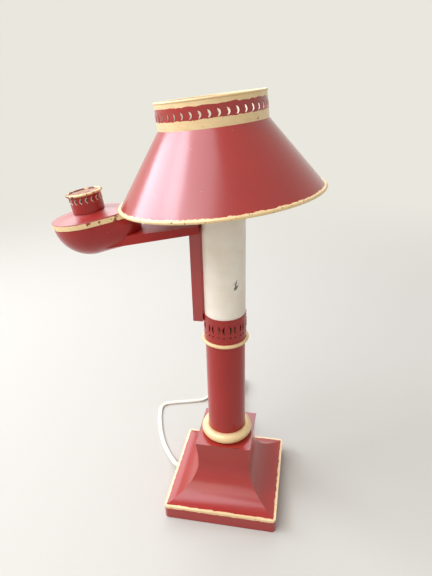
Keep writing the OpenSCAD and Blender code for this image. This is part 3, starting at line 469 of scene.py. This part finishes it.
# the lead's points carry the cord's roll in degrees after their place
LEAD = [
    (-44.2, 6.9, 3.75, 0), (-49.5, 6.9, 4.7, 0), (-54.9, 6.9, 5.7, 0), (-57.9, 7.2, 5.8, 0),
    (-60.7, 8.3, 5.6, 0), (-63.2, 9.9, 5.2, 0), (-65.3, 12.1, 4.6, 0), (-68.6, 16.5, 3.5, 0),
    (-72.8, 22.1, 2.2, 0), (-77, 27.7, 1.6, 0), (-82, 34.6, 1.5, 0), (-89.5, 47, 1.5, 0),
    (-97, 63, 1.5, 0), (-103.5, 80.5, 1.5, 0), (-107.2, 93, 1.5, 0), (-109.1, 103.3, 1.5, 0),
    (-109.3, 106.9, 1.5, 0), (-108.4, 110.4, 1.5, 0), (-106.6, 113.5, 1.5, 0), (-103.9, 116, 1.5, 0),
    (-100.6, 117.6, 1.5, 0), (-89.8, 121, 1.5, 0), (-73.9, 125.6, 1.5, 0), (-60.4, 129.7, 1.6, 5),
    (-56.5, 131.6, 1.8, 15), (-53.2, 134.5, 2, 28), (-51, 138.2, 2.3, 44), (-49.9, 142.4, 2.7, 60),
    (-50, 146.7, 3, 76)]
TAIL = [(-23.1, 182, 8.8), (-20.2, 188, 8.7), (-16.6, 194, 8.6), (-13.9, 200, 8.5), (-13, 205.4, 8.4),
        (-13, 208, 8.4)]
HANK_X, HANK_NEAR, HANK_RUN, HANK_INNER, HANK_DRAW = 1, 86, 82, 15.4, 12
LANE_STEP, LANE_TURN, LOOP_RINGS, FOLD_RINGS, RUN_RINGS = 3.8, 2.25, 24, 7, 5
HANK_Z, LAYER_RISE = 3.2, 5.7
# loops laid when the hank starts and ends, and the steps between
HANK_START, HANK_END, HANK_STEPS = -FOLD_RINGS / 2 / LOOP_RINGS, 4 + 20.5 / LOOP_RINGS, 480


def hank_point(u):
    """Where the cord lies after u loops, in the hank's own frame, in millimetres."""
    k = (u - math.floor(u)) * LOOP_RINGS
    r = HANK_INNER + LANE_STEP * abs(LANE_TURN - u)
    half, far = FOLD_RINGS / 2, HANK_NEAR + HANK_RUN
    right, near = half + RUN_RINGS, half + RUN_RINGS + FOLD_RINGS
    left = near + RUN_RINGS
    f = min(1, max(0, (u - LANE_TURN) * LOOP_RINGS / RUN_RINGS + 0.5))
    z = HANK_Z + LAYER_RISE * f * f * (3 - 2 * f)
    if half <= k < right or near <= k < left:
        f = (k - (half if k < right else near)) / RUN_RINGS
        out = r - HANK_DRAW * math.sin(math.pi * f) ** 2
        if k < right:
            return HANK_X + out, far - HANK_RUN * f, z
        return HANK_X - out, HANK_NEAR + HANK_RUN * f, z
    if k < half or k >= left:
        a, middle = math.radians(90 * (k if k < half else k - left - half) / half), far
    else:
        a, middle = math.radians(90 + 180 * (k - right) / FOLD_RINGS), HANK_NEAR
    return HANK_X + r * math.sin(a), middle + r * math.cos(a), z


loops = [hank_point(HANK_START + i * (HANK_END - HANK_START) / HANK_STEPS) for i in range(HANK_STEPS + 1)]
start, stop = loops[0], loops[-1]
approach = [HANK @ Vector((start[0], start[1] - k * CORD_W, start[2])) for k in (2, 1)]
lead = eased(LEAD + [(*p, 90) for p in approach], 6)
tail = eased([(stop[0], stop[1] + k, stop[2]) for k in (CORD_W, CORD_W + CORD_T)] + TAIL, 6)
route = [Vector(p[:3]) for p in lead] + [HANK @ Vector(p) for p in loops + tail]
turns = [p[3] for p in lead] + [90] * (len(route) - len(lead))
route = [p * MM for p in route]
# two round conductors side by side with a groove between them
round_angles = [math.radians(a) for a in range(-120, 121, 30)]
lobe = [(CORD_T / 2 * (1 + math.cos(a)), CORD_T / 2 * math.sin(a)) for a in round_angles]
twin = lobe + [(0, GROOVE)] + [(-a, -b) for a, b in lobe] + [(0, -GROOVE)]
cord_mesh = clean_mesh("cord", *swept(route, turns, [(a * MM, b * MM) for a, b in twin]))
cord = piece("cord", cord_mesh, "stand", ivory_vinyl, ["cord_lead", "cord_hank", "cord_tail"])


# Reservoir lid: a low dome from the rim's pear outline up to the filler, in the filler's frame
BOWL_R, BOWL_DROP, TAIL_R, TAIL_X, TAIL_DROP, BAND = 31.6, 3.6, 19.0, 27.8, 12.8, 0.5
LID_RISE, NECK_R, SHEET = 3.2, 13.4, 0.8
LID_SIDES, LID_ROWS, BOWL_SLICES = 96, 12, 40


def rim_reach(angle):
    """Distance from the filler's axis to the rim: the widest of the round slices along the bowl."""
    best, c, s = 0, math.cos(angle), math.sin(angle)
    for k in range(BOWL_SLICES + 1):
        f = k / BOWL_SLICES
        ball, drop = BOWL_R + BAND + (TAIL_R - BOWL_R) * f, BOWL_DROP + (TAIL_DROP - BOWL_DROP) * f
        r = math.sqrt(ball ** 2 - drop ** 2)
        x = TAIL_X * f - FILLER_X
        if r > abs(x * s):
            best = max(best, x * c + math.sqrt(r * r - (x * s) ** 2))
    return best


lid_angles = [2 * math.pi * k / LID_SIDES for k in range(LID_SIDES)]
reaches = [rim_reach(a) for a in lid_angles]
# each row is a share of the way from the rim in to the neck, and a height: under side, eased edge, dome
lid_profile = [(1, 0), (0, 0), (0, SHEET - 0.2), (0.012, SHEET)]
lid_profile += [(k / LID_ROWS, SHEET + LID_RISE * (k / LID_ROWS) ** 2) for k in range(1, LID_ROWS + 1)]
lid_rows = []
for share, z in lid_profile:
    radii = [r + (NECK_R - r) * share for r in reaches]
    lid_rows.append([FILLER @ (Vector((r * math.cos(a), r * math.sin(a), z)) * MM)
                     for r, a in zip(radii, lid_angles)])
lid_mesh = clean_mesh("reservoir_lid", *rings(lid_rows + [lid_rows[0]], capped=False))
piece("reservoir_lid", lid_mesh, "stand", hazed_red, ["font_lid"])


# Lap seams: a folded strip of tinplate down the back of each rolled tube and of the cone
STRIP = [(-2.0, -0.3), (2.0, -0.3), (2.0, 0.2), (1.7, 0.36), (-1.7, 0.36), (-2.0, 0.2)]
RUN_STEPS = 8


def lap_seam(name, frame_of, foot, top, bearing, body, material):
    """A seam between two rings of radius and height in a frame, at a bearing."""
    c, s = math.cos(math.radians(bearing)), math.sin(math.radians(bearing))
    ends = [Vector((r * c, r * s, z)) for r, z in (foot, top)]
    slope = Vector((c * (top[1] - foot[1]), s * (top[1] - foot[1]), foot[0] - top[0])).normalized()
    path = [frame_of @ (ends[0].lerp(ends[1], k / RUN_STEPS) * MM) for k in range(RUN_STEPS + 1)]
    outward = [frame_of.to_3x3() @ slope] * len(path)
    points, faces = swept(path, [0] * len(path), [(a * MM, b * MM) for a, b in STRIP], outward)
    piece(name, clean_mesh(name, points, faces), body, material)


lap_seam("column_seam", HERE, foot=(COLUMN_R, 86.8), top=(COLUMN_R, 188.4), bearing=84,
         body="stand", material=plain_red)
lap_seam("candle_seam", HERE, foot=(CANDLE_R, 217.6), top=(CANDLE_R, 313.8), bearing=58,
         body="stand", material=cream)
lap_seam("cone_seam", SHADE, foot=(84.2, 10.4), top=(43.9, 65.2), bearing=76.7,
         body="shade", material=cone_red)
lap_seam("crown_seam", SHADE, foot=(CROWN_WALL_R, 65.6), top=(CROWN_WALL_R, 84.4), bearing=76.7,
         body="shade", material=crown_red)


# Painted solder down both edges of the feed duct, where its flat face meets the round candle:
# its section as distances from the candle's axis, towards the duct and along the duct's width
SOLDER = [(19.3, -8.7), (18.6, -8.35), (17.9, -8.15), (17.2, -8.1), (17.9, -6.0), (19.3, -6.0)]
SOLDER_FOOT, SOLDER_TOP = 217.6, 300.0

solder_step = (SOLDER_TOP - SOLDER_FOOT) / RUN_STEPS
run = [Vector((0, 0, SOLDER_FOOT + solder_step * k)) * MM for k in range(RUN_STEPS + 1)]
sideways = [Vector((0, 1, 0))] * len(run)
for name, sense in (("duct_solder_front", 1), ("duct_solder_back", -1)):
    section = [(a * MM, sense * b * MM) for a, b in SOLDER]
    points, faces = swept(run, [0] * len(run), section, sideways)
    piece(name, clean_mesh(name, points, faces), "stand", hazed_red)


# Lips where the coat stands proud round the pierced work, one ridge to each hole, repeated by Geometry Nodes


def ring_tree():
    """A node tree that turns its part round the upright axis, so many times in even steps."""
    tree = bpy.data.node_groups.new("turned_round", "GeometryNodeTree")
    tree.is_modifier = True
    inputs = {"Geometry": "Geometry", "Count": "Int", "Step": "Float", "Finish": "Material"}
    for label, kind in inputs.items():
        tree.interface.new_socket(label, in_out="INPUT", socket_type="NodeSocket" + kind)
    tree.interface.new_socket("Geometry", in_out="OUTPUT", socket_type="NodeSocketGeometry")
    given = add(tree, "NodeGroupInput")
    spots = add(tree, "GeometryNodeMeshLine", {"Count": given.outputs["Count"], "Offset": (0, 0, 0)})
    order = add(tree, "GeometryNodeInputIndex")
    angle = add(tree, MATHS, {0: order.outputs[0], 1: given.outputs["Step"]}, operation="MULTIPLY")
    spin = add(tree, "ShaderNodeCombineXYZ", {"Z": angle.outputs[0]})
    copies = add(tree, "GeometryNodeInstanceOnPoints", {
        "Points": spots.outputs[0], "Instance": given.outputs["Geometry"], "Rotation": spin.outputs[0]})
    solid = add(tree, "GeometryNodeRealizeInstances", {"Geometry": copies.outputs[0]})
    coated = add(tree, "GeometryNodeSetMaterial", {
        "Geometry": solid.outputs[0], "Material": given.outputs["Finish"]})
    add(tree, "NodeGroupOutput", {"Geometry": coated.outputs[0]})
    return tree


RING = ring_tree()
SOCKETS = {item.name: item.identifier for item in RING.interface.items_tree if item.in_out == "INPUT"}


def turned_round(name, part, count, frame_of, body, material):
    """The part repeated round a frame's upright axis, as one plain piece."""
    maker = bpy.data.objects.new(name, clean_mesh(name, *part))
    bpy.context.scene.collection.objects.link(maker)
    ring = maker.modifiers.new("turned_round", "NODES")
    ring.node_group = RING
    ring[SOCKETS["Count"]] = count
    ring[SOCKETS["Step"]] = 2 * math.pi / count
    ring[SOCKETS["Finish"]] = material
    seen = maker.evaluated_get(bpy.context.evaluated_depsgraph_get())
    mesh = bpy.data.meshes.new_from_object(seen)
    bpy.data.objects.remove(maker)
    mesh.transform(frame_of)
    piece(name, mesh, body, material)


def lip(wall_r, height, middle, arc_r, spread, sense, bead_r=0.2):
    """A ridge on a wall along an arc of a radius, a half angle and the side that it bows to."""
    path, lifts = [], []
    for k in range(RUN_STEPS + 1):
        a = math.radians(spread * (2 * k / RUN_STEPS - 1))
        across, up = middle + sense * arc_r * math.cos(a), arc_r * math.sin(a)
        deep = math.sqrt(wall_r ** 2 - across ** 2)
        path.append(Vector((deep, across, height + up)) * MM)
        lifts.append(Vector((deep, across, 0)).normalized())
    corners = [math.pi / 3 * k for k in range(6)]
    outline = [(bead_r * MM * math.cos(a), bead_r * MM * math.sin(a)) for a in corners]
    return swept(path, [0] * len(path), outline, lifts)


crown_lip = lip(CROWN_WALL_R, height=75.2, middle=-1.407, arc_r=2.95, spread=78, sense=1)
turned_round("crown_lips", crown_lip, 40, SHADE, "shade", plain_red)
# the cap's ridges take the pale finish, so that each hole shows a pale crescent
cap_lip = lip(CAP_WALL_R, height=15.15, middle=1.4, arc_r=2.4, spread=66, sense=-1, bead_r=0.4)
turned_round("cap_lips", cap_lip, 18, FILLER, "filler_cap", pale_crescent_finish)
for name, sense in (("gallery_lips_left", 1), ("gallery_lips_right", -1)):
    gallery_lip = lip(GALLERY_R, height=207.0, middle=-7.0 * sense, arc_r=6.15, spread=46, sense=sense)
    turned_round(name, gallery_lip, 12, HERE, "stand", plain_red)


# Lamp bulb: a pear of glass above its screw base, as radius and height
BULB_FOOT = [(0, 327.5), (12.3, 327.5)]
BULB_PEAR = [(12.5, 331.5), (14.4, 337.5), (18.2, 345.5), (21.5, 353), (23, 360.5), (21.5, 368.7), (17, 376),
             (9.4, 381.4), (0, 383.5)]
glass = [(r * MM, z * MM) for r, z in BULB_FOOT + eased(BULB_PEAR, 5)]
bulb_mesh = clean_mesh("bulb_pear", *turned(glass))
piece("bulb_pear", bulb_mesh, "bulb", frosted_glass, ["bulb_glass"])


# Floor, light and camera
FLOOR_REACH, FADE_START, FADE_END = 6, 0.45, 1.3
BACKDROP = linear("#e9e7de")
AMBIENT = (0.55, 0.55, 0.56, 1)


def seen_rays(tree):
    """1 for rays that come from the camera, a gloss or a glass, and 0 for those that carry light."""
    ray = add(tree, "ShaderNodeLightPath")
    shiny = add(tree, MATHS, {0: ray.outputs["Is Glossy Ray"], 1: ray.outputs["Is Transmission Ray"]},
                operation="MAXIMUM")
    seen = add(tree, MATHS, {0: ray.outputs["Is Camera Ray"], 1: shiny.outputs[0]}, operation="MAXIMUM")
    return seen.outputs[0]


def pale_floor():
    """A matt pale floor that fades into the backdrop's plain colour away from the lamp."""
    paint, tree, shader, place = finish("pale_floor", Roughness=0.8, IOR=1.3)
    shader.inputs["Base Color"].default_value = linear("#c2beb4")
    away = add(tree, VECTORS, {0: place}, operation="LENGTH")
    fade = add(tree, RANGE, {VALUE: away.outputs["Value"], FROM_MIN: FADE_START, FROM_MAX: FADE_END},
               interpolation_type="SMOOTHSTEP")
    share = add(tree, MATHS, {0: fade.outputs[0], 1: seen_rays(tree)}, operation="MULTIPLY")
    plain = add(tree, "ShaderNodeEmission", {"Color": BACKDROP})
    blended = add(tree, "ShaderNodeMixShader", {
        0: share.outputs[0], 1: shader.outputs[0], 2: plain.outputs[0]})
    tree.links.new(blended.outputs[0], tree.nodes["Material Output"].inputs["Surface"])
    return paint


floor_mesh = bpy.data.meshes.new("floor")
floor_corners = [(x * FLOOR_REACH, y * FLOOR_REACH, 0) for x, y in ((-1, -1), (1, -1), (1, 1), (-1, 1))]
floor_mesh.from_pydata(floor_corners, [], [(0, 1, 2, 3)])
floor_mesh.materials.append(pale_floor())
floor = bpy.data.objects.new("floor", floor_mesh)
bpy.context.scene.collection.objects.link(floor)

world = bpy.data.worlds.new("studio")
world.use_nodes = True
sky = world.node_tree
glow = add(sky, BLEND, {FACTOR: seen_rays(sky), COLOUR_A: AMBIENT, COLOUR_B: BACKDROP}, data_type="RGBA")
sky.links.new(glow.outputs[COLOUR_OUT], sky.nodes["Background"].inputs["Color"])
bpy.context.scene.world = world


def softbox(name, place, target, width, height, watts, colour, roll=0):
    """A rectangular soft light aimed at a point and rolled about its own axis."""
    data = bpy.data.lights.new(name, "AREA")
    data.shape = "RECTANGLE"
    data.size, data.size_y = width, height
    data.energy = watts
    data.color = linear(colour)[:3]
    lamp = bpy.data.objects.new(name, data)
    lamp.location = place
    aim = (Vector(target) - Vector(place)).to_track_quat("-Z", "Y")
    lamp.rotation_euler = (aim @ Quaternion((0, 0, 1), math.radians(roll))).to_euler()
    lamp.visible_camera = False
    bpy.context.scene.collection.objects.link(lamp)


softbox("left_strip", (-1.27, -0.07, 1.13), (0, 0, 0.33), 1.45, 0.55, 23, "#eaf0ff", roll=38)
softbox("back_panel", (-0.6, 1.5, 1.35), (-0.05, 0, 0.3), 2.0, 1.2, 22, "#f2f5ff")
softbox("top_panel", (-0.7, -0.55, 1.65), (0, 0, 0.2), 1.2, 1.2, 15, "#f3f5ff")
softbox("front_fill", (-0.7, -1.6, 1.5), (0, 0, 0.2), 1.4, 1.2, 10, "#fff8ee")

# The camera's place in millimetres, its directions, and its focal length in pixels of the picture's height
EYE = Vector((67.9, -380.3, 427.8))
RIGHT, ABOVE = Vector((0.9826, 0.1840, -0.0238)), Vector((-0.0591, 0.4322, 0.8998))
AHEAD = Vector((-0.1759, 0.8828, -0.4356))
FOCAL_PIXELS, PICTURE_HEIGHT, SENSOR = 474.41, 576, 36

camera_data = bpy.data.cameras.new("camera")
camera_data.sensor_width = SENSOR
camera_data.lens = FOCAL_PIXELS / PICTURE_HEIGHT * SENSOR
camera_data.clip_start = 0.01
camera = bpy.data.objects.new("camera", camera_data)
camera.matrix_world = Matrix.Translation(EYE * MM) @ Matrix((RIGHT, ABOVE, -AHEAD)).transposed().to_4x4()
bpy.context.scene.collection.objects.link(camera)
bpy.context.scene.camera = camera
bpy.context.scene.view_settings.view_transform = "Standard"
